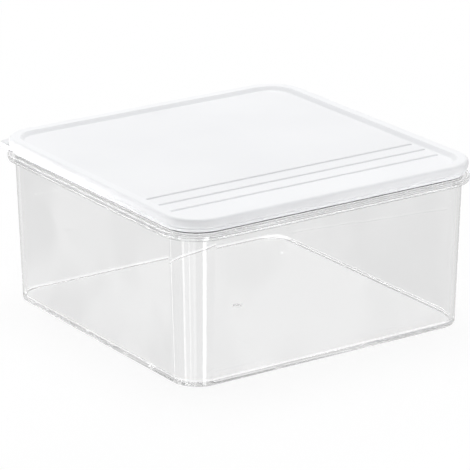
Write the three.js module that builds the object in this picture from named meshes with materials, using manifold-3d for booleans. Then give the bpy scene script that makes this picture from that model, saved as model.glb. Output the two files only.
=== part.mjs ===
// Food storage box: a clear moulded container with a white push-on lid.
// Millimetres, +Z up. The origin is the middle of the base, on the surface that the box stands on.
// The front is -Y, and the lid's pull tab is at the corner towards -X and +Y.
import * as THREE from 'three';
import { mergeVertices } from 'three/addons/utils/BufferGeometryUtils.js';
import Module from 'manifold-3d';

const wasm = await Module();
wasm.setup();

// Plan of both pieces: every outline is a rounded square about the same four corner centres
const lidWidth = 202.8;
const lidCornerRadius = 22.8;
const leastCornerRadius = 1;

// Clearances between the two pieces
const seatGap = 0.3;
const rimGap = 0.3;
const snapGap = 0.3;
const plugGap = 0.4;

// Lid: overall height and thicknesses
const lidHeight = 9;
const panelThickness = 1.3;
const borderThickness = 1.3;
const skirtThickness = 1.6;

// Lid: rounded rim of the skirt, and the waist below it
const skirtEdgeRadius = 2.05;
const skirtTurnRadius = 2;
const skirtTurnRise = 1.6;
const waistInset = 1.1;
const waistRise = 0.25;

// Lid: bead below the waist, tucked-in lip below the bead, and the seat ring that comes down on the collar
const beadInset = 0.7;
const beadHeight = 0.35;
const beadRise = 0.6;
const lipInset = 1.9;
const lipHeight = 1.3;
const lipThickness = 1.9;
const lipEdgeRadius = 0.6;
const seatRingHeight = 0.8;
const seatRingThickness = 0.7;
const leadIn = 0.3;

// Lid: raised border and recessed panel
const borderWidth = 6.7;
const borderSlope = 2.2;
const borderEdgeRadius = 0.8;
const panelRecess = 2.4;
const panelFootRadius = 1.4;

// Lid: snap rib inside the skirt and plug wall inside the neck
const snapRib = 0.2;
const snapRibWidth = 1.2;
const snapRibHeight = 1.9;
const channelRadius = 0.3;
const plugEdgeRadius = 0.5;

// Lid: pull tab at one corner
const tabInset = 1.6;
const tabCornerRadius = 3;
const tabRise = 1.6;
const tabThickness = 2;

// Lid: long grooves across the front of the panel
const grooveCount = 3;
const groovePitch = 12.5;
const grooveFromFront = 30;
const grooveRadius = 1;
const grooveDepth = 0.8;
const grooveMargin = 1.5;

// Container: walls and floor
const seatHeight = 89.4;
const wallThickness = 2.1;
const wallDraft = THREE.MathUtils.degToRad(1.72);
const floorThickness = 2;
const baseEdgeRadius = 1.5;
const floorFillet = 2.2;

// Container: neck inside the lid
const neckThickness = 1;
const neckFootRadius = 0.4;
const rimRadius = 0.4;

// Container: collar under the lid, with its down-turned lip
const collarOverhang = 0.8;
const collarThickness = 1.6;
const collarHeight = 3.1;
const collarLipThickness = 1.6;
const collarEdgeRadius = 0.5;
const collarRootRadius = 0.5;

// Container: round moulding gate mark in the middle of the floor
const gateDiameter = 5.6;
const gateDepth = 0.8;

// Facets
const cornerSegments = 14;
const filletStep = THREE.MathUtils.degToRad(22.5);
const grooveSegments = 12;
const gateSegments = 20;

// Heights worked out from the seat of the lid on the collar
const lidBottom = seatHeight + seatGap;
const lidTop = lidBottom + lidHeight;
const panelTop = lidTop - panelRecess;
const panelUnder = panelTop - panelThickness;
const channelTop = lidTop - borderThickness;
const neckTop = channelTop - rimGap;
const collarUnder = seatHeight - collarThickness;
const collarBottom = seatHeight - collarHeight;

// Half widths worked out from the lid inwards
const lidHalf = lidWidth / 2;
const cornerCentre = lidHalf - lidCornerRadius;
const channelOuter = lidHalf - skirtThickness;
const lipOuter = lidHalf - lipInset;
const skirtInner = lipOuter - lipThickness;
const neckOuter = skirtInner - snapRib - snapGap;
const neckInner = neckOuter - neckThickness;
const borderInner = lidHalf - borderWidth;
const panelHalf = borderInner - borderSlope;
const collarOuter = lidHalf + collarOverhang;
const collarLipInner = collarOuter - collarLipThickness;

// The container's inside face leans out towards the rim so that the moulding comes off its core
const insideHalf = (z) => neckInner - (neckTop - z) * Math.tan(wallDraft);
const wallOuter = (z) => insideHalf(z) + wallThickness;
const plugOuter = (z) => insideHalf(z) - plugGap;

// Section corners are [half width, height, fillet radius]; a fillet stays within half of its shorter edge
function roundSection(corners) {
  const points = [];
  corners.forEach(([half, height, radius = 0], index) => {
    const corner = new THREE.Vector2(half, height);
    const before = corners[index - 1];
    const after = corners[index + 1];
    if (!radius || !before || !after) {
      points.push(corner);
      return;
    }
    const back = new THREE.Vector2(before[0], before[1]).sub(corner);
    const ahead = new THREE.Vector2(after[0], after[1]).sub(corner);
    const room = Math.min(back.length(), ahead.length()) / 2;
    back.normalize();
    ahead.normalize();
    const halfAngle = Math.acos(THREE.MathUtils.clamp(back.dot(ahead), -1, 1)) / 2;
    const setback = Math.min(radius / Math.tan(halfAngle), room);
    const fillet = setback * Math.tan(halfAngle);
    const start = corner.clone().addScaledVector(back, setback);
    const end = corner.clone().addScaledVector(ahead, setback);
    const inward = back.clone().add(ahead).normalize();
    const centre = corner.clone().addScaledVector(inward, fillet / Math.sin(halfAngle));
    const turn = Math.PI - 2 * halfAngle;
    const steps = Math.max(1, Math.round(turn / filletStep));
    const from = start.clone().sub(centre).angle();
    const to = end.clone().sub(centre).angle();
    const sweep = Math.atan2(Math.sin(to - from), Math.cos(to - from));
    for (let step = 0; step <= steps; step += 1) {
      const angle = from + (sweep * step) / steps;
      points.push(new THREE.Vector2(Math.cos(angle), Math.sin(angle)).multiplyScalar(fillet).add(centre));
    }
  });
  return points;
}

// One rounded square outline, anticlockwise from above
function outline(half, height) {
  const radius = Math.max(half - cornerCentre, leastCornerRadius);
  const centre = half - radius;
  const points = [];
  for (let quarter = 0; quarter < 4; quarter += 1) {
    const firstAngle = quarter * (Math.PI / 2);
    const sideX = quarter === 0 || quarter === 3 ? 1 : -1;
    const sideY = quarter < 2 ? 1 : -1;
    for (let step = 0; step <= cornerSegments; step += 1) {
      const angle = firstAngle + (Math.PI / 2) * (step / cornerSegments);
      const x = sideX * centre + radius * Math.cos(angle);
      const y = sideY * centre + radius * Math.sin(angle);
      points.push(x, y, height);
    }
  }
  return points;
}

// Closed body of a section that starts and ends on the middle axis, carried round the rounded square
function sweepSection(section) {
  const ringSize = 4 * (cornerSegments + 1);
  const positions = [];
  const rings = section.map((point) => {
    const first = positions.length / 3;
    const onAxis = point.x === 0;
    positions.push(...(onAxis ? [0, 0, point.y] : outline(point.x, point.y)));
    return (place) => (onAxis ? first : first + (place % ringSize));
  });
  const faces = [];
  for (let level = 0; level + 1 < rings.length; level += 1) {
    const lower = rings[level];
    const upper = rings[level + 1];
    for (let place = 0; place < ringSize; place += 1) {
      const corners = [lower(place), lower(place + 1), upper(place + 1), upper(place)];
      if (corners[0] !== corners[1]) faces.push(corners[0], corners[1], corners[2]);
      if (corners[2] !== corners[3]) faces.push(corners[0], corners[2], corners[3]);
    }
  }
  const geometry = new THREE.BufferGeometry();
  geometry.setAttribute('position', new THREE.Float32BufferAttribute(positions, 3));
  geometry.setIndex(faces);
  return geometry;
}

// Closed geometry to a solid that can be joined and cut, and back
function toSolid(geometry) {
  const bare = geometry.clone();
  bare.deleteAttribute('normal');
  bare.deleteAttribute('uv');
  const merged = mergeVertices(bare);
  const vertProperties = new Float32Array(merged.attributes.position.array);
  const triVerts = new Uint32Array(merged.index.array);
  return new wasm.Manifold(new wasm.Mesh({ numProp: 3, vertProperties, triVerts }));
}

function toGeometry(solid) {
  const mesh = solid.getMesh();
  const geometry = new THREE.BufferGeometry();
  geometry.setAttribute('position', new THREE.BufferAttribute(mesh.vertProperties, 3));
  geometry.setIndex(new THREE.BufferAttribute(mesh.triVerts, 1));
  geometry.computeVertexNormals();
  return geometry;
}

// Container: floor, drafted walls, collar with its lip, and neck, as one moulding
function makeContainer() {
  const section = roundSection([
    [0, 0],
    [wallOuter(0), 0, baseEdgeRadius],
    [wallOuter(collarUnder), collarUnder, collarRootRadius],
    [collarLipInner, collarUnder, collarRootRadius],
    [collarLipInner, collarBottom, collarEdgeRadius],
    [collarOuter, collarBottom, collarEdgeRadius],
    [collarOuter, seatHeight, collarEdgeRadius],
    [neckOuter, seatHeight, neckFootRadius],
    [neckOuter, neckTop, rimRadius],
    [neckInner, neckTop, rimRadius],
    [insideHalf(floorThickness), floorThickness, floorFillet],
    [0, floorThickness],
  ]);
  const gate = new THREE.CylinderGeometry(gateDiameter / 2, gateDiameter / 2, 2 * gateDepth, gateSegments);
  gate.rotateX(Math.PI / 2);
  gate.translate(0, 0, floorThickness);
  return toGeometry(toSolid(sweepSection(section)).subtract(toSolid(gate)));
}

// Lid: panel, border, skirt and plug wall of one section, before the tab and the grooves
function lidBody() {
  const ribMiddle = lidBottom + snapRibHeight;
  const ribTop = ribMiddle + snapRibWidth / 2;
  const ribBottom = ribMiddle - snapRibWidth / 2;
  const seatRingOuter = skirtInner + seatRingThickness;
  const lipBottom = lidBottom + seatRingHeight;
  const lipTop = lipBottom + lipHeight;
  const beadOuter = lidHalf - beadInset;
  const beadBottom = lipTop + beadRise;
  const beadTop = beadBottom + beadHeight;
  const waist = beadTop + waistRise;
  const skirtTurn = waist + skirtTurnRise;
  return roundSection([
    [0, panelUnder],
    [plugOuter(panelUnder), panelUnder, plugEdgeRadius],
    [plugOuter(channelTop), channelTop, channelRadius],
    [channelOuter, channelTop, skirtEdgeRadius - borderThickness],
    [channelOuter, skirtTurn],
    [skirtInner, ribTop],
    [skirtInner - snapRib, ribMiddle],
    [skirtInner, ribBottom],
    [skirtInner, lidBottom + leadIn],
    [skirtInner + leadIn, lidBottom],
    [seatRingOuter, lidBottom],
    [seatRingOuter, lipBottom],
    [lipOuter, lipBottom, lipEdgeRadius],
    [lipOuter, lipTop],
    [beadOuter, beadBottom],
    [beadOuter, beadTop],
    [lidHalf - waistInset, waist],
    [lidHalf, skirtTurn, skirtTurnRadius],
    [lidHalf, lidTop, skirtEdgeRadius],
    [borderInner, lidTop, borderEdgeRadius],
    [panelHalf, panelTop, panelFootRadius],
    [0, panelTop],
  ]);
}

// Pull tab: its edges come out of the skirt where the corner begins and meet in a nearly square tip
function pullTab() {
  const rootHalf = (skirtInner + lipOuter) / 2;
  const tipHalf = lidHalf - tabInset;
  const tipCentre = tipHalf - tabCornerRadius;
  const shape = new THREE.Shape();
  shape.moveTo(-cornerCentre, rootHalf);
  shape.lineTo(-tipCentre, tipHalf);
  shape.absarc(-tipCentre, tipCentre, tabCornerRadius, Math.PI / 2, Math.PI, false);
  shape.lineTo(-rootHalf, cornerCentre);
  shape.absarc(-cornerCentre, cornerCentre, rootHalf - cornerCentre, Math.PI, Math.PI / 2, true);
  shape.closePath();
  const tab = new THREE.ExtrudeGeometry(shape, {
    depth: tabThickness,
    bevelEnabled: false,
    curveSegments: cornerSegments,
  });
  tab.translate(0, 0, lidBottom + tabRise);
  return tab;
}

// One groove cutter: a long rod with round ends, sunk into the panel by the groove's depth
function grooveRod(index) {
  const length = 2 * (panelHalf - grooveMargin - grooveRadius);
  const rod = new THREE.CapsuleGeometry(grooveRadius, length, grooveSegments / 4, grooveSegments);
  rod.rotateZ(Math.PI / 2);
  rod.translate(0, -lidHalf + grooveFromFront + index * groovePitch, panelTop + grooveRadius - grooveDepth);
  return rod;
}

function makeLid() {
  let lid = toSolid(sweepSection(lidBody())).add(toSolid(pullTab()));
  for (let index = 0; index < grooveCount; index += 1) {
    lid = lid.subtract(toSolid(grooveRod(index)));
  }
  return toGeometry(lid);
}

const clearPlastic = new THREE.MeshStandardMaterial({
  color: 0xe9edee,
  roughness: 0.06,
  metalness: 0,
  transparent: true,
  opacity: 0.35,
});
const whitePlastic = new THREE.MeshStandardMaterial({ color: 0xf4f5f7, roughness: 0.42, metalness: 0 });

function namedMesh(name, geometry, material) {
  const mesh = new THREE.Mesh(geometry, material);
  mesh.name = name;
  return mesh;
}

const group = new THREE.Group();
group.name = 'food_storage_box';
group.add(namedMesh('container', makeContainer(), clearPlastic));
group.add(namedMesh('lid', makeLid(), whitePlastic));

export default group;
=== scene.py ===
# %% [markdown]
# # A clear food storage box with a white lid
# The real thing is two mouldings: a clear, stiff container and a soft white lid that is pushed on over
# its rim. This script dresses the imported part: it loads the solids, makes a finer skin for each
# moulding, gives both their plastic, and sets up a small white studio with the camera where the
# photograph was taken.

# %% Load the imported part
import math

import bmesh
import bpy
from mathutils import Matrix, Vector


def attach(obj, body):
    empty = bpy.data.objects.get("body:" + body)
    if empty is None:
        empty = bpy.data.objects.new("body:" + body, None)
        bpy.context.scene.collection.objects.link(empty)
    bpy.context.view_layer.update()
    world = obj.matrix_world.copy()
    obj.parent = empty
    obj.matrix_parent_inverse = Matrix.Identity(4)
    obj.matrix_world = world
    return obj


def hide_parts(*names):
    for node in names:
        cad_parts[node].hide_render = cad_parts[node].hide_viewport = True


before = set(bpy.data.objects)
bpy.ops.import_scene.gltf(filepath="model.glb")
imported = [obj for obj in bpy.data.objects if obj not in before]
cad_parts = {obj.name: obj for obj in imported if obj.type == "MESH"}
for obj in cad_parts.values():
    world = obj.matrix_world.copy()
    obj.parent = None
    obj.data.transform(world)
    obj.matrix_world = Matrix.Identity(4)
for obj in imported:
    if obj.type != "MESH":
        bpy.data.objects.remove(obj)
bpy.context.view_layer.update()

# %% [markdown]
# ## One drawing for both mouldings
# Cut the box through its middle and each moulding shows a thin section. Carry that section round a
# square with round corners and the whole moulding appears. A turned vase is made the same way, only
# round a circle. All the outlines here share four corner centres, so a wall keeps its thickness round
# the corners by itself. Sizes are in millimetres, as on a drawing, and become metres when a point is
# made.

# %% Plan sizes and the rounded square
MM = 0.001
CORNER_CENTRE = 78.6
CORNER_STEPS = 40


def square_ring(half, height):
    """Points of a rounded square, anticlockwise from above."""
    radius = max(half - CORNER_CENTRE, 1.0)
    centre = half - radius
    points = []
    for quarter, (side_x, side_y) in enumerate([(1, 1), (-1, 1), (-1, -1), (1, -1)]):
        for step in range(CORNER_STEPS + 1):
            angle = math.radians(90) * (quarter + step / CORNER_STEPS)
            x = side_x * centre + radius * math.cos(angle)
            y = side_y * centre + radius * math.sin(angle)
            points.append((x, y, height))
    return points


print("points in one outline:", len(square_ring(100.0, 0.0)))

# %% [markdown]
# ## Rounding the section
# No edge of a moulding is truly sharp, and it is the tiny rounds that catch light and draw the bright
# and dark lines along clear plastic. A Bevel modifier could round them, but here the radius of every
# corner is known, so each corner of the section is swapped for a short arc. That keeps the faces even
# and the reflections clean.

# %% Round the corners of a section
ARC_STEP = math.radians(9)


def rounded(corners):
    """Corners are (half width, height, radius). The first and the last point stay as they are."""
    points = [Vector(corners[0][:2])]
    for before, here, after in zip(corners, corners[1:], corners[2:]):
        corner = Vector(here[:2])
        back = Vector(before[:2]) - corner
        ahead = Vector(after[:2]) - corner
        room = 0.5 * min(back.length, ahead.length)
        back.normalize()
        ahead.normalize()
        half_angle = 0.5 * back.angle(ahead)
        setback = min(here[2] / math.tan(half_angle), room)
        radius = setback * math.tan(half_angle)
        centre = corner + (back + ahead).normalized() * (radius / math.sin(half_angle))
        start = corner + back * setback - centre
        turn = start.angle_signed(corner + ahead * setback - centre)
        steps = max(2, round(abs(turn) / ARC_STEP))
        for step in range(steps + 1):
            angle = -turn * step / steps
            points.append(centre + Vector((
                start.x * math.cos(angle) - start.y * math.sin(angle),
                start.x * math.sin(angle) + start.y * math.cos(angle),
            )))
    points.append(Vector(corners[-1][:2]))
    return points


# %% [markdown]
# ## Skins and flats
# By hand, two outlines one above the other would be joined with Bridge Edge Loops, and a flat with
# holes would be closed with Fill. The same is done here in code: a skin runs from ring to ring, and a
# fill closes each end.

# %% Skin a row of rings
def add_ring(mesh_edit, points):
    return [mesh_edit.verts.new(Vector(point) * MM) for point in points]


def add_skin(mesh_edit, rings):
    """Quads between each ring and the next one. All rings have the same number of points."""
    for lower, upper in zip(rings, rings[1:]):
        for place in range(len(lower)):
            after = (place + 1) % len(lower)
            mesh_edit.faces.new((lower[place], lower[after], upper[after], upper[place]))


def ring_edges(mesh_edit, ring):
    return [mesh_edit.edges.get(pair) or mesh_edit.edges.new(pair)
            for pair in zip(ring, ring[1:] + ring[:1])]


def fill_flat(mesh_edit, *rings):
    """Fills the flat between an outer ring and any rings inside it."""
    edges = [edge for ring in rings for edge in ring_edges(mesh_edit, ring)]
    bmesh.ops.triangle_fill(mesh_edit, use_beauty=True, use_dissolve=False, edges=edges)


# %% [markdown]
# ## From points to a piece
# The last step is the same for every piece. Normals are made to point outwards, faces are shaded
# smooth, and a Weighted Normal modifier lets the large flat faces decide the shading, so the walls stay
# flat and only the rounds turn. Then the piece takes the place of its plain solid and rides on the same
# body.

# %% Make a piece that stands for a solid
def make_piece(mesh_edit, name, solid):
    bmesh.ops.recalc_face_normals(mesh_edit, faces=mesh_edit.faces)
    mesh = bpy.data.meshes.new(name)
    mesh_edit.to_mesh(mesh)
    mesh_edit.free()
    mesh.shade_smooth()
    piece = bpy.data.objects.new(name, mesh)
    bpy.context.scene.collection.objects.link(piece)
    shading = piece.modifiers.new("even_shading", "WEIGHTED_NORMAL")
    shading.weight = 50
    shading.keep_sharp = True
    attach(piece, solid)
    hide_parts(solid)
    print(name, "has", len(mesh.polygons), "faces")
    return piece


# %% [markdown]
# ## The container
# The container is one clear moulding. Its walls lean out a little towards the rim, so that it leaves
# its mould and stacks. Near the top a collar with a down-turned lip stiffens the rim and is what a
# thumb pushes against, and above the collar a thin neck goes up inside the lid. Clear plastic shows
# both faces of a wall, so it has to be a closed body with true thickness: a single sheet of faces would
# bend light the wrong way.

# %% Container sizes
FLAT_START = 60.0
FLOOR_TOP = 2.0
FLOOR_FILLET = 2.2
BASE_EDGE = 1.0
COLLAR_TOP = 89.4
COLLAR_UNDER = 87.8
COLLAR_BOTTOM = 86.3
COLLAR_OUTER = 102.2
COLLAR_LIP_INNER = 100.6
COLLAR_EDGE = 0.5
NECK_TOP = 97.1
NECK_OUTER = 97.1
NECK_INNER = 96.1
NECK_EDGE = 0.4
WALL = 2.1
LEAN = math.tan(math.radians(1.72))


def inside_half(height):
    return NECK_INNER - (NECK_TOP - height) * LEAN


def outside_half(height):
    return inside_half(height) + WALL


print("wall is", round(2 * outside_half(0.0), 1), "mm wide at the base")

# %% Container section
# The two points on the flats only give a direction, so they are dropped after the rounding.
container_section = rounded([
    (FLAT_START, 0.0),
    (outside_half(0.0), 0.0, BASE_EDGE),
    (outside_half(COLLAR_UNDER), COLLAR_UNDER, COLLAR_EDGE),
    (COLLAR_LIP_INNER, COLLAR_UNDER, COLLAR_EDGE),
    (COLLAR_LIP_INNER, COLLAR_BOTTOM, COLLAR_EDGE),
    (COLLAR_OUTER, COLLAR_BOTTOM, COLLAR_EDGE),
    (COLLAR_OUTER, COLLAR_TOP, COLLAR_EDGE),
    (NECK_OUTER, COLLAR_TOP, NECK_EDGE),
    (NECK_OUTER, NECK_TOP, NECK_EDGE),
    (NECK_INNER, NECK_TOP, NECK_EDGE),
    (inside_half(FLOOR_TOP), FLOOR_TOP, FLOOR_FILLET),
    (FLAT_START, FLOOR_TOP),
])[1:-1]
print("container section has", len(container_section), "points")

# %% [markdown]
# ## The gate mark
# Hot plastic enters the mould through a gate in the middle of the floor, and the gate leaves a shallow
# round dent. It is small, but on a clear empty floor the eye finds it at once. A dent could be sculpted
# or cut with a Boolean, but a round hole left in the floor's fill and skinned down to its own little
# floor gives cleaner faces.

# %% Gate mark in the floor
GATE_SECTION = rounded([(4.0, 0.0), (2.8, 0.0, 0.15), (2.7, -1.1, 0.15), (0.6, -1.1)])[1:]
GATE_POINTS = 48


def round_ring(radius, height):
    turn = 2 * math.pi / GATE_POINTS
    return [(radius * math.cos(i * turn), radius * math.sin(i * turn), height) for i in range(GATE_POINTS)]


# %% Container piece
# Walls first, then the underside, the gate mark, and last the floor around the mark.
shell = bmesh.new()
container_rings = [add_ring(shell, square_ring(p.x, p.y)) for p in container_section]
add_skin(shell, container_rings)
fill_flat(shell, container_rings[0])
gate_rings = [add_ring(shell, round_ring(p.x, FLOOR_TOP + p.y)) for p in GATE_SECTION]
add_skin(shell, gate_rings)
fill_flat(shell, gate_rings[-1])
fill_flat(shell, container_rings[-1], gate_rings[0])
container = make_piece(shell, "container_moulding", "container")

# %% [markdown]
# ## The lid
# The lid is one white moulding. A raised border frames a lower panel, three long grooves cross the
# panel near the front, and a tab at one corner is there to pull it off by. Under the border the skirt
# swells out, narrows to a waist, has a bead, and tucks in to a lip, and a seat ring behind the lip
# comes down on the collar. Inside, the border forms a channel that the container's neck goes into. The
# lid is swept like the container.

# %% Lid sizes
LID_TOP = 98.7
LID_HALF = 101.4
BORDER_INNER = 94.7
PANEL_HALF = 92.5
PANEL_TOP = 96.3
PANEL_UNDER = 95.0
PLUG_GAP = 0.4
CHANNEL_TOP = 97.4
CHANNEL_OUTER = 99.8

# %% Skirt sizes, from the swell down to the seat ring
SKIRT_TURN = 94.6
SKIRT_INNER = 97.6
WAIST = 93.0
WAIST_OUTER = 100.3
BEAD_TOP = 92.75
BEAD_BOTTOM = 92.4
BEAD_OUTER = 100.7
LIP_TOP = 91.8
LIP_BOTTOM = 90.7
LIP_OUTER = 99.5
SNAP_TOP = 92.2
SNAP_MIDDLE = 91.6
SNAP_BOTTOM = 91.0
SNAP_RIB = 0.2
LEAD_IN = 0.3
LID_BOTTOM = 89.7
SEAT_RING_OUTER = 98.3

# %% Lid section
lid_section = rounded([
    (FLAT_START, PANEL_UNDER),
    (inside_half(PANEL_UNDER) - PLUG_GAP, PANEL_UNDER, 0.5),
    (inside_half(CHANNEL_TOP) - PLUG_GAP, CHANNEL_TOP, 0.3),
    (CHANNEL_OUTER, CHANNEL_TOP, 0.75),
    (CHANNEL_OUTER, SKIRT_TURN, 0.8),
    (SKIRT_INNER, SNAP_TOP, 0.3),
    (SKIRT_INNER - SNAP_RIB, SNAP_MIDDLE, 0.3),
    (SKIRT_INNER, SNAP_BOTTOM, 0.3),
    (SKIRT_INNER, LID_BOTTOM + LEAD_IN, 0.1),
    (SKIRT_INNER + LEAD_IN, LID_BOTTOM, 0.1),
    (SEAT_RING_OUTER, LID_BOTTOM, 0.15),
    (SEAT_RING_OUTER, LIP_BOTTOM, 0.1),
    (LIP_OUTER, LIP_BOTTOM, 0.3),
    (LIP_OUTER, LIP_TOP, 0.2),
    (BEAD_OUTER, BEAD_BOTTOM, 0.15),
    (BEAD_OUTER, BEAD_TOP, 0.15),
    (WAIST_OUTER, WAIST, 0.15),
    (LID_HALF, SKIRT_TURN, 2.0),
    (LID_HALF, LID_TOP, 2.05),
    (BORDER_INNER, LID_TOP, 0.8),
    (PANEL_HALF, PANEL_TOP, 1.4),
    (FLAT_START, PANEL_TOP),
])[1:-1]
print("lid section has", len(lid_section), "points")

# %% [markdown]
# ## The grooves
# Three long grooves run across the front of the panel. A Boolean could cut them, but it would leave
# ragged faces on so large a flat, so each is a long slot left out of the panel's fill and skinned from
# its mouth down to a narrow floor. Each point of its section is a half width and a depth, from the
# mouth inwards.

# %% Grooves across the panel
GROOVE_FIRST = -71.4
GROOVE_PITCH = 12.5
GROOVE_COUNT = 3
GROOVE_REACH = 90.0
GROOVE_SECTION = rounded([(2.6, 0.0), (1.2, 0.0, 0.3), (0.8, -1.0, 0.25), (0.05, -1.0)])[1:]
GROOVE_END_STEPS = 10


def groove_ring(reach, aside, depth, middle_y):
    """A long slot outline: two straight sides with a half circle at each end."""
    points = []
    for end in (1, -1):
        for step in range(GROOVE_END_STEPS + 1):
            angle = math.radians(180) * step / GROOVE_END_STEPS - math.radians(90)
            x = end * (reach + aside * math.cos(angle))
            y = middle_y + end * aside * math.sin(angle)
            points.append((x, y, PANEL_TOP + depth))
    return points


# %% [markdown]
# ## The pull tab
# The tab grows out of the skirt at one corner and ends in a nearly square tip. It is a flat outline
# raised to a plate, with its edges rounded by a bevel. Its inner end lies inside the skirt's wall,
# which leans, so the root stands further out at the top than at the bottom.

# %% Pull tab outline
TAB_BOTTOM = 91.3
TAB_TOP = 94.5
TAB_ROOT = 98.55
TAB_ROOT_TOP = 99.9
TAB_HALF = 99.8
TAB_TIP_RADIUS = 3.0
TAB_EDGE = 0.6
TIP_STEPS = 12
ROOT_STEPS = 24


def tab_outline(root):
    """The tab seen from above: out of the skirt, round the tip, and back inside the skirt."""
    tip = TAB_HALF - TAB_TIP_RADIUS
    points = [(-CORNER_CENTRE, root)]
    for step in range(TIP_STEPS + 1):
        angle = math.radians(90 + 90 * step / TIP_STEPS)
        points.append((-tip + TAB_TIP_RADIUS * math.cos(angle), tip + TAB_TIP_RADIUS * math.sin(angle)))
    points.append((-root, CORNER_CENTRE))
    root_radius = root - CORNER_CENTRE
    for step in range(1, ROOT_STEPS):
        angle = math.radians(180 - 90 * step / ROOT_STEPS)
        points.append((-CORNER_CENTRE + root_radius * math.cos(angle),
                       CORNER_CENTRE + root_radius * math.sin(angle)))
    return points


# %% Lid body with its grooves
cap = bmesh.new()
lid_rings = [add_ring(cap, square_ring(p.x, p.y)) for p in lid_section]
add_skin(cap, lid_rings)
fill_flat(cap, lid_rings[0])
groove_mouths = []
for groove in range(GROOVE_COUNT):
    groove_y = GROOVE_FIRST + groove * GROOVE_PITCH
    groove_rings = [add_ring(cap, groove_ring(GROOVE_REACH, p.x, p.y, groove_y)) for p in GROOVE_SECTION]
    add_skin(cap, groove_rings)
    fill_flat(cap, groove_rings[-1])
    groove_mouths.append(groove_rings[0])
fill_flat(cap, lid_rings[-1], *groove_mouths)
print("grooves in the panel:", len(groove_mouths))

# %% Pull tab, and the whole lid
tab_levels = ((TAB_BOTTOM, TAB_ROOT), (TAB_TOP, TAB_ROOT_TOP))
tab_rings = [add_ring(cap, [(x, y, level) for x, y in tab_outline(root)]) for level, root in tab_levels]
add_skin(cap, tab_rings)
for ring in tab_rings:
    fill_flat(cap, ring)
tab_edges = [edge for ring in tab_rings for edge in ring_edges(cap, ring)]
bmesh.ops.bevel(cap, geom=tab_edges, offset=TAB_EDGE * MM, segments=5, profile=0.5, affect="EDGES")
lid = make_piece(cap, "lid_moulding", "lid")

# %% [markdown]
# ## Small helpers for shaders
# A shader is a chain of boxes with numbers flowing through it. Building one in code takes the same few
# lines again and again, so the boxes used most get a short function: arithmetic, a range that turns one
# number into another, noise, a bump, and a blend of two shaders. Each input is either a plain value or
# the output of an earlier box.

# %% Helpers for shader nodes
def feed(tree, socket, value):
    """Links an earlier output to a socket, or writes a plain value on it."""
    if isinstance(value, bpy.types.NodeSocket):
        tree.links.new(value, socket)
    else:
        socket.default_value = value


def add_math(tree, operation, *values):
    node = tree.nodes.new("ShaderNodeMath")
    node.operation = operation
    for socket, value in zip(node.inputs, values):
        feed(tree, socket, value)
    return node.outputs["Value"]


def add_vector_math(tree, operation, result, *values):
    node = tree.nodes.new("ShaderNodeVectorMath")
    node.operation = operation
    for socket, value in zip(node.inputs, values):
        feed(tree, socket, value)
    return node.outputs[result]


def add_range(tree, source, start, end, low, high):
    """Goes from low to high while the source goes from start to end, and stays level outside."""
    node = tree.nodes.new("ShaderNodeMapRange")
    names = ("Value", "From Min", "From Max", "To Min", "To Max")
    for name, value in zip(names, (source, start, end, low, high)):
        feed(tree, node.inputs[name], value)
    return node.outputs["Result"]


def add_noise(tree, source, scale, detail):
    node = tree.nodes.new("ShaderNodeTexNoise")
    feed(tree, node.inputs["Vector"], source)
    node.inputs["Scale"].default_value = scale
    node.inputs["Detail"].default_value = detail
    return node.outputs["Fac"]


def add_bump(tree, source, strength, distance):
    node = tree.nodes.new("ShaderNodeBump")
    feed(tree, node.inputs["Height"], source)
    feed(tree, node.inputs["Strength"], strength)
    node.inputs["Distance"].default_value = distance
    return node.outputs["Normal"]


def add_mix(tree, amount, first, second):
    """Blends two shaders: the first at 0, the second at 1."""
    node = tree.nodes.new("ShaderNodeMixShader")
    for socket, value in zip(node.inputs, (amount, first, second)):
        feed(tree, socket, value)
    return node.outputs["Shader"]


# %% [markdown]
# ## Clear plastic
# The container is a stiff, clear plastic with a polished face. Light passes it and bends, and a little
# is lost on the way. A Principled shader with full transmission does the bending, and the refractive
# index of 1.57 is that of a clear styrene plastic. The polish is never quite even, so a noise lets the
# roughness wander by a hair.

# %% Clear plastic material
clear_plastic = bpy.data.materials.new("clear_moulded_plastic")
clear_plastic.use_nodes = True
tree = clear_plastic.node_tree
tree.nodes.clear()
clear_out = tree.nodes.new("ShaderNodeOutputMaterial")
clear_skin = tree.nodes.new("ShaderNodeBsdfPrincipled")
clear_skin.inputs["Base Color"].default_value = (0.985, 0.985, 0.985, 1.0)
clear_skin.inputs["Transmission Weight"].default_value = 1.0
clear_skin.inputs["IOR"].default_value = 1.57
position = tree.nodes.new("ShaderNodeTexCoord").outputs["Object"]
polish = add_noise(tree, position, 60.0, 4.0)
feed(tree, clear_skin.inputs["Roughness"], add_range(tree, polish, 0.0, 1.0, 0.0, 0.012))

# %% [markdown]
# Broad thin walls shrink unevenly as they cool and end up slightly wavy, which bends what is seen
# through them. A slow noise through a Bump node does that without moving a face. The floor's edge and
# the collar are thick and stay straight, so there the waviness fades out and their lines run clean.

# %% Wavy walls
WAVE_STRENGTH = 0.15
WAVE_HEIGHT = 0.0006
WAVE_START = (0.003, 0.006)
WAVE_END = (0.083, 0.0855)
height = tree.nodes.new("ShaderNodeSeparateXYZ")
feed(tree, height.inputs["Vector"], position)
above_floor = add_range(tree, height.outputs["Z"], *WAVE_START, 0.0, WAVE_STRENGTH)
below_collar = add_range(tree, height.outputs["Z"], *WAVE_END, 1.0, 0.0)
on_walls = add_math(tree, "MULTIPLY", above_floor, below_collar)
waviness = add_noise(tree, position, 22.0, 1.0)
feed(tree, clear_skin.inputs["Normal"], add_bump(tree, waviness, on_walls, WAVE_HEIGHT))

# %% [markdown]
# Lamps can't aim through bent light, so without help a clear box throws a shadow like a solid one and
# its lid gets no light from below. For shadow and diffuse rays the plastic is therefore simply
# see-through. A faint absorption inside takes a little from light that runs a long way in the plastic.

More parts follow.
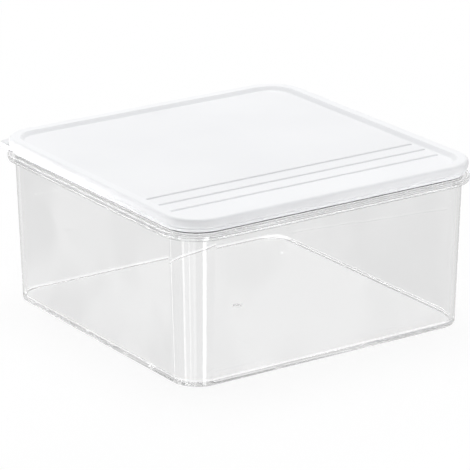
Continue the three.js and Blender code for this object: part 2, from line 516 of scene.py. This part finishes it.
# %% Let lamps through, and absorb a little inside
ray_kind = tree.nodes.new("ShaderNodeLightPath")
light_only = add_math(tree, "MAXIMUM", ray_kind.outputs["Is Shadow Ray"], ray_kind.outputs["Is Diffuse Ray"])
see_through = tree.nodes.new("ShaderNodeBsdfTransparent")
see_through.inputs["Color"].default_value = (0.9, 0.9, 0.9, 1.0)
inside_loss = tree.nodes.new("ShaderNodeVolumeAbsorption")
inside_loss.inputs["Color"].default_value = (0.80, 0.80, 0.80, 1.0)
inside_loss.inputs["Density"].default_value = 0.1
clear_mix = add_mix(tree, light_only, clear_skin.outputs["BSDF"], see_through.outputs["BSDF"])
feed(tree, clear_out.inputs["Surface"], clear_mix)
feed(tree, clear_out.inputs["Volume"], inside_loss.outputs["Volume"])
container.data.materials.append(clear_plastic)
print("clear plastic on", container.name)

# %% [markdown]
# Light that gets into a clear wall runs along it like water in a pipe, turned back from face to face
# many times. Blender stops a path after a few turns and shows black there, so the limits are raised
# until the edges clear.

# %% Longer light paths
LIGHT_TURNS = 400
cycles = bpy.context.scene.cycles
cycles.max_bounces = LIGHT_TURNS
cycles.glossy_bounces = LIGHT_TURNS
cycles.transmission_bounces = LIGHT_TURNS
cycles.transparent_max_bounces = LIGHT_TURNS
print("light may turn", LIGHT_TURNS, "times")

# %% [markdown]
# ## White lid plastic
# The lid is a softer plastic, white right through, with a satin face. Up close it has a very fine grain
# from the mould, and its white isn't perfectly even. Noise drives all three: a tint between two close
# whites, a roughness that wanders a little, and a fine bump. A flat white would look like paper here.

# %% White plastic material
white_plastic = bpy.data.materials.new("white_satin_plastic")
white_plastic.use_nodes = True
tree = white_plastic.node_tree
white_skin = tree.nodes["Principled BSDF"]
white_skin.inputs["IOR"].default_value = 1.5
position = tree.nodes.new("ShaderNodeTexCoord").outputs["Object"]
clouding = add_noise(tree, position, 14.0, 3.0)
whites = tree.nodes.new("ShaderNodeValToRGB")
whites.color_ramp.elements[0].position = 0.3
whites.color_ramp.elements[0].color = (0.925, 0.925, 0.937, 1.0)
whites.color_ramp.elements[1].position = 0.7
whites.color_ramp.elements[1].color = (0.96, 0.96, 0.968, 1.0)
feed(tree, whites.inputs["Fac"], clouding)
feed(tree, white_skin.inputs["Roughness"], add_range(tree, clouding, 0.0, 1.0, 0.34, 0.46))
grain = add_noise(tree, position, 1400.0, 2.0)
feed(tree, white_skin.inputs["Normal"], add_bump(tree, grain, 0.12, 0.0001))

# %% [markdown]
# ## Three zones of tone on the lid
# In the photograph the panel is a shade darker than the border, the swell of the skirt is greyer than
# the lip under it, and the slot above the collar is dark. Lamps alone gave too little of that here, so
# the white is scaled by a tone that depends on the place on the lid. Shade painted into a colour stays
# when the light changes, so this is a last resort: the panel is only 4 % darker and the swell 12 %. The
# seat ring is much darker, but it only shows as a line in the slot. All outlines are drawn about four
# corner centres, so the distance past them tells panel, border and skirt apart.

# %% How far out and how high a point of the lid lies
corner_centre = (CORNER_CENTRE * MM, CORNER_CENTRE * MM, 1.0)
quarter = add_vector_math(tree, "ABSOLUTE", "Vector", position)
past_centre = add_vector_math(tree, "SUBTRACT", "Vector", quarter, corner_centre)
beyond = add_vector_math(tree, "MAXIMUM", "Vector", past_centre, (0.0, 0.0, 0.0))
reach = add_vector_math(tree, "LENGTH", "Value", beyond)
place = tree.nodes.new("ShaderNodeSeparateXYZ")
feed(tree, place.inputs["Vector"], position)


def reach_of(half):
    """The reach of an outline with this half width, in metres."""
    return (half - CORNER_CENTRE) * MM


print("the border reaches from", round(reach_of(BORDER_INNER), 4), "to", round(reach_of(LID_HALF), 4))

# %% Tone of each zone
PANEL_SHADE = 0.04
SWELL_SHADE = 0.12
SLOT_TONE = 0.14
STRIP_EDGE = (-0.072, -0.046)
WAIST_EDGE = (0.0928, 0.0932)
SLOT_EDGE = (0.0905, 0.0906)
SWELL_START = 99.8
SWELL_FULL = 101.0
inside_border = add_range(tree, reach, reach_of(PANEL_HALF), reach_of(BORDER_INNER), PANEL_SHADE, 0.0)
behind_strip = add_range(tree, place.outputs["Y"], *STRIP_EDGE, 0.0, 1.0)
panel = add_math(tree, "MULTIPLY", inside_border, behind_strip)
above_waist = add_range(tree, place.outputs["Z"], *WAIST_EDGE, 0.0, 1.0)
on_swell = add_range(tree, reach, reach_of(SWELL_START), reach_of(SWELL_FULL), 0.0, SWELL_SHADE)
swell = add_math(tree, "MULTIPLY", above_waist, on_swell)
shade = add_math(tree, "ADD", panel, swell)
above_slot = add_range(tree, place.outputs["Z"], *SLOT_EDGE, SLOT_TONE, 1.0)
tone = add_math(tree, "SUBTRACT", above_slot, shade)

# %% Toned white on the lid
toned = tree.nodes.new("ShaderNodeVectorMath")
toned.operation = "SCALE"
feed(tree, toned.inputs[0], whites.outputs["Color"])
feed(tree, toned.inputs["Scale"], tone)
feed(tree, white_skin.inputs["Base Color"], toned.outputs["Vector"])
lid.data.materials.append(white_plastic)
print("white plastic on", lid.name)

# %% [markdown]
# ## Kinds of light rays
# The photograph has a pure white ground, clear plastic shows whatever is behind it, and its faces
# mirror a room that isn't in the picture. Floor and room therefore answer differently to different
# rays, and the Light Path node tells the rays apart. Bent rays also count as glossy for Blender, so
# mirrored rays are glossy minus bent.

# %% Helpers that tell rays apart
def seen_rays(tree):
    """1 for rays from the camera and for rays that were mirrored or bent, 0 for light."""
    kind = tree.nodes.new("ShaderNodeLightPath").outputs
    turned = add_math(tree, "MAXIMUM", kind["Is Glossy Ray"], kind["Is Transmission Ray"])
    return add_math(tree, "MAXIMUM", kind["Is Camera Ray"], turned)


def mirrored_rays(tree):
    """1 for rays that were mirrored and not bent."""
    kind = tree.nodes.new("ShaderNodeLightPath").outputs
    mirrored = add_math(tree, "SUBTRACT", kind["Is Glossy Ray"], kind["Is Transmission Ray"])
    mirrored.node.use_clamp = True
    return mirrored


# %% [markdown]
# ## The white floor
# A plain floor under lamps turns grey towards its edges. This one shows a steady white to the camera,
# with a tenth of matt surface mixed in near the box, which keeps the box's shadow. To light it is a
# matt white floor and no lamp. To rays bent by the plastic it carries painted light and shade: a little
# brighter under the box, a painted shadow around it that deepens to the right, and a painted highlight
# along the base. That gives the grey walls and the pale base lines. Mirrored rays go through it.

# %% Floor
bpy.ops.mesh.primitive_circle_add(vertices=96, radius=4.0, fill_type="NGON", location=(0, 0, -0.0003))
floor = bpy.context.object
floor.name = "white_floor"
floor_white = bpy.data.materials.new("white_floor")
floor_white.use_nodes = True
tree = floor_white.node_tree
tree.nodes.clear()
floor_out = tree.nodes.new("ShaderNodeOutputMaterial")
matt = tree.nodes.new("ShaderNodeBsdfDiffuse")
matt.inputs["Color"].default_value = (1.0, 1.0, 1.0, 1.0)
plain_white = tree.nodes.new("ShaderNodeEmission")
open_below = tree.nodes.new("ShaderNodeBsdfTransparent")

# %% Painted light and shade on the floor, as seen through the plastic
BASE_LINE = 0.0955
BASE_LINE_HALF = 0.0025
PAINTED_HIGHLIGHT_GAIN = 0.16
UNDER_GAIN = 0.05
UNDER_EDGE = (0.094, 0.1)
LEFT_TO_RIGHT = (-0.08, 0.12)
PAINTED_SHADOW_AROUND = (-0.125, -0.2)
position = tree.nodes.new("ShaderNodeTexCoord").outputs["Object"]
floor_place = tree.nodes.new("ShaderNodeSeparateXYZ")
feed(tree, floor_place.inputs["Vector"], position)
side_x = add_math(tree, "ABSOLUTE", floor_place.outputs["X"])
side_y = add_math(tree, "ABSOLUTE", floor_place.outputs["Y"])
further = add_math(tree, "MAXIMUM", side_x, side_y)
# Painted light and shade for bent rays: a little brighter under the box, and a painted shadow around it that
# darkens towards the right.
painted_shadow_right = add_range(tree, floor_place.outputs["X"], *LEFT_TO_RIGHT, *PAINTED_SHADOW_AROUND)
around = add_range(tree, further, *UNDER_EDGE, UNDER_GAIN, painted_shadow_right)
# Painted highlight: a bright ring on the floor along the box's base, seen through the plastic as a pale
# line.
painted_base_highlight = add_math(tree, "COMPARE", further, BASE_LINE, BASE_LINE_HALF)
painted_light_and_shade = add_math(tree, "MULTIPLY_ADD", painted_base_highlight, PAINTED_HIGHLIGHT_GAIN, around)
bent = tree.nodes.new("ShaderNodeLightPath").outputs["Is Transmission Ray"]
whiteness = add_math(tree, "ADD", 1.0, add_math(tree, "MULTIPLY", painted_light_and_shade, bent))
feed(tree, plain_white.inputs["Strength"], whiteness)

# %% Put the floor's faces together
SHADOW_FADE = (0.2, 0.7)
WHITE_NEAR_BOX = 0.9
away = add_vector_math(tree, "LENGTH", "Value", position)
fade = add_range(tree, away, *SHADOW_FADE, WHITE_NEAR_BOX, 1.0)
shadow_white = add_mix(tree, fade, matt.outputs["BSDF"], plain_white.outputs["Emission"])
seen_floor = add_mix(tree, seen_rays(tree), matt.outputs["BSDF"], shadow_white)
floor_mix = add_mix(tree, mirrored_rays(tree), seen_floor, open_below.outputs["BSDF"])
feed(tree, floor_out.inputs["Surface"], floor_mix)
floor.data.materials.append(floor_white)
print("floor is", round(floor.dimensions.x, 1), "m wide")

# %% [markdown]
# ## The white room
# The room is Blender's world. It lights softly at half strength and is pure white to the camera. To
# rays bent by the plastic it is a sixth darker, which gives the walls their light grey. What the walls
# mirror lies lower than the horizon: a mottled grey room, dark towards the near corner, stands for the
# things around a real table, and makes the faint uneven patches on the left wall.

# %% World
THROUGH_LOSS = 0.165
world = bpy.data.worlds.new("white_room")
bpy.context.scene.world = world
world.use_nodes = True
tree = world.node_tree
tree.nodes.clear()
world_out = tree.nodes.new("ShaderNodeOutputWorld")
room_light = tree.nodes.new("ShaderNodeBackground")
room_light.inputs["Color"].default_value = (0.97, 0.985, 1.0, 1.0)
room_light.inputs["Strength"].default_value = 0.5
white_behind = tree.nodes.new("ShaderNodeBackground")
bent = tree.nodes.new("ShaderNodeLightPath").outputs["Is Transmission Ray"]
feed(tree, white_behind.inputs["Strength"], add_range(tree, bent, 0.0, 1.0, 1.0, 1.0 - THROUGH_LOSS))

# %% The room that the walls mirror
mirrored_room = tree.nodes.new("ShaderNodeBackground")
heading = tree.nodes.new("ShaderNodeTexCoord").outputs["Generated"]
stretch = tree.nodes.new("ShaderNodeMapping")
stretch.inputs["Location"].default_value = (0.3, 0.0, 0.0)
stretch.inputs["Scale"].default_value = (1.0, 1.0, 0.35)
feed(tree, stretch.inputs["Vector"], heading)
patch_tones = tree.nodes.new("ShaderNodeValToRGB")
patch_tones.color_ramp.elements[0].position = 0.4
patch_tones.color_ramp.elements[0].color = (0.2, 0.2, 0.2, 1.0)
patch_tones.color_ramp.elements[1].position = 0.6
patch_tones.color_ramp.elements[1].color = (0.8, 0.8, 0.8, 1.0)
feed(tree, patch_tones.inputs["Fac"], add_noise(tree, stretch.outputs["Vector"], 55.0, 2.0))

# %% Dark towards the near corner, white above the horizon
NEAR_CORNER_HEADING = (-0.829, -0.559, 0.0)
CORNER_FADE = (0.05, 0.2)
HORIZON_FADE = (-0.05, 0.05)
towards_corner = add_vector_math(tree, "DOT_PRODUCT", "Value", heading, NEAR_CORNER_HEADING)
corner_dark = tree.nodes.new("ShaderNodeMixRGB")
corner_dark.inputs["Color2"].default_value = (0.03, 0.03, 0.03, 1.0)
feed(tree, corner_dark.inputs["Fac"], add_range(tree, towards_corner, *CORNER_FADE, 0.0, 1.0))
feed(tree, corner_dark.inputs["Color1"], patch_tones.outputs["Color"])
heading_parts = tree.nodes.new("ShaderNodeSeparateXYZ")
feed(tree, heading_parts.inputs["Vector"], heading)
up_white = tree.nodes.new("ShaderNodeMixRGB")
up_white.inputs["Color2"].default_value = (1.0, 1.0, 1.0, 1.0)
above_horizon = add_range(tree, heading_parts.outputs["Z"], *HORIZON_FADE, 0.0, 1.0)
feed(tree, up_white.inputs["Fac"], above_horizon)
feed(tree, up_white.inputs["Color1"], corner_dark.outputs["Color"])
feed(tree, mirrored_room.inputs["Color"], up_white.outputs["Color"])

# %% Put the room together
lit, seen, mirrored = [node.outputs["Background"] for node in (room_light, white_behind, mirrored_room)]
seen_room = add_mix(tree, seen_rays(tree), lit, seen)
feed(tree, world_out.inputs["Surface"], add_mix(tree, mirrored_rays(tree), seen_room, mirrored))
bpy.context.scene.view_settings.view_transform = "Standard"
print("room light", room_light.inputs["Strength"].default_value)

# %% [markdown]
# ## Soft lamps
# A large softbox overhead, a little behind the box, gives the lid its light. Two narrow softboxes lie
# close to the floor, at the left and in front. They shine up under the lid's rim, so that the lip and
# the bead catch light. They are kept out of mirrored rays, because they would show as streaks.

# %% Softboxes
def add_softbox(name, place, aim, width, height, watts):
    lamp = bpy.data.lights.new(name, "AREA")
    lamp.shape = "RECTANGLE"
    lamp.size = width
    lamp.size_y = height
    lamp.energy = watts
    softbox = bpy.data.objects.new(name, lamp)
    bpy.context.scene.collection.objects.link(softbox)
    softbox.location = place
    softbox.rotation_euler = (Vector(aim) - Vector(place)).to_track_quat("-Z", "Y").to_euler()
    softbox.visible_camera = False
    print(name, "radiance", round(watts / (math.pi * width * height), 2))
    return softbox


add_softbox("top_softbox", (0.25, 0.5, 2.35), (0, 0, 0.05), 1.6, 1.6, 31.0)
low_left = add_softbox("low_left_softbox", (-0.33, 0.2, 0.012), (-0.1, 0.2, 0.092), 0.5, 0.03, 0.7)
low_left.visible_glossy = False
low_front = add_softbox("low_front_softbox", (0.15, -0.34, 0.012), (0.15, -0.1, 0.092), 0.5, 0.03, 0.3)
low_front.visible_glossy = False

# %% [markdown]
# ## Strips for the near corner
# A round corner of clear plastic squeezes half a room into a few millimetres, so every bright upright
# line on the near corner is one lamp or window. Six tall strips stand around that corner, each given by
# its angle round the corner, its width in degrees and its brightness. They reach from just under the
# floor down a metre, where only mirrored rays go, so they draw the lines and light nothing else.

# %% Strip lamps
NEAR_CORNER = (-0.09, -0.09, 0.0)
STRIP_LOW = -1.0
STRIP_HIGH = -0.05
STRIP_AWAY = 1.3


def add_strip(name, azimuth, spread, radiance, away=STRIP_AWAY):
    """A tall strip lamp at an angle round the near corner, as wide as spread, both in degrees."""
    angle = math.radians(azimuth)
    place = Vector(NEAR_CORNER) + Vector((math.cos(angle), math.sin(angle), 0)) * away
    place.z = 0.5 * (STRIP_LOW + STRIP_HIGH)
    width = 2 * away * math.tan(math.radians(spread / 2))
    tall = STRIP_HIGH - STRIP_LOW
    aim = Vector((NEAR_CORNER[0], NEAR_CORNER[1], place.z))
    return add_softbox(name, place, aim, width, tall, radiance * math.pi * width * tall)


add_strip("back_left_strip", 136, 3, 3.2)
add_strip("left_strip", 187.5, 7, 2.6)
add_strip("thin_strip", 209, 3, 2.2)
add_strip("pale_strip", 226, 8, 0.7)
add_strip("broad_strip", 208, 46, 0.8, 1.5)
add_strip("front_strip", 261, 13, 4.5)

# %% [markdown]
# ## The camera
# The camera was found by matching the box's long straight edges with those in the picture. It is a long
# lens a little under two metres away, looking down at the near corner. The picture is square, so the
# lens follows from the number of pixels that its focal length spans.

# %% Camera
AZIMUTH = math.radians(-34.01)
ELEVATION = math.radians(18.78)
ROLL = math.radians(-0.12)
DISTANCE = 1.8448
FOCAL_PIXELS = 3186.8
PICTURE_PIXELS = 470
AIM_RIGHT = -0.00074
AIM_UP = -0.00458
BOX_MIDDLE = Vector((0, 0, 0.05))
to_camera = Vector((math.sin(AZIMUTH) * math.cos(ELEVATION), -math.cos(AZIMUTH) * math.cos(ELEVATION),
                    math.sin(ELEVATION)))
to_right = Vector((math.cos(AZIMUTH), math.sin(AZIMUTH), 0.0))
to_top = to_camera.cross(to_right)
aim_at = to_right * AIM_RIGHT + to_top * AIM_UP + BOX_MIDDLE
lens = bpy.data.cameras.new("camera")
lens.sensor_width = 36.0
lens.lens = FOCAL_PIXELS * lens.sensor_width / PICTURE_PIXELS
lens.clip_end = 50.0
camera = bpy.data.objects.new("camera", lens)
bpy.context.scene.collection.objects.link(camera)
camera.location = aim_at + to_camera * DISTANCE
level = to_right * math.cos(ROLL) + to_top * math.sin(ROLL)
upright = to_top * math.cos(ROLL) - to_right * math.sin(ROLL)
camera.rotation_euler = Matrix((level, upright, to_camera)).transposed().to_euler()
bpy.context.scene.camera = camera
print("camera at", [round(v, 4) for v in camera.location], "lens", round(lens.lens, 1), "mm")
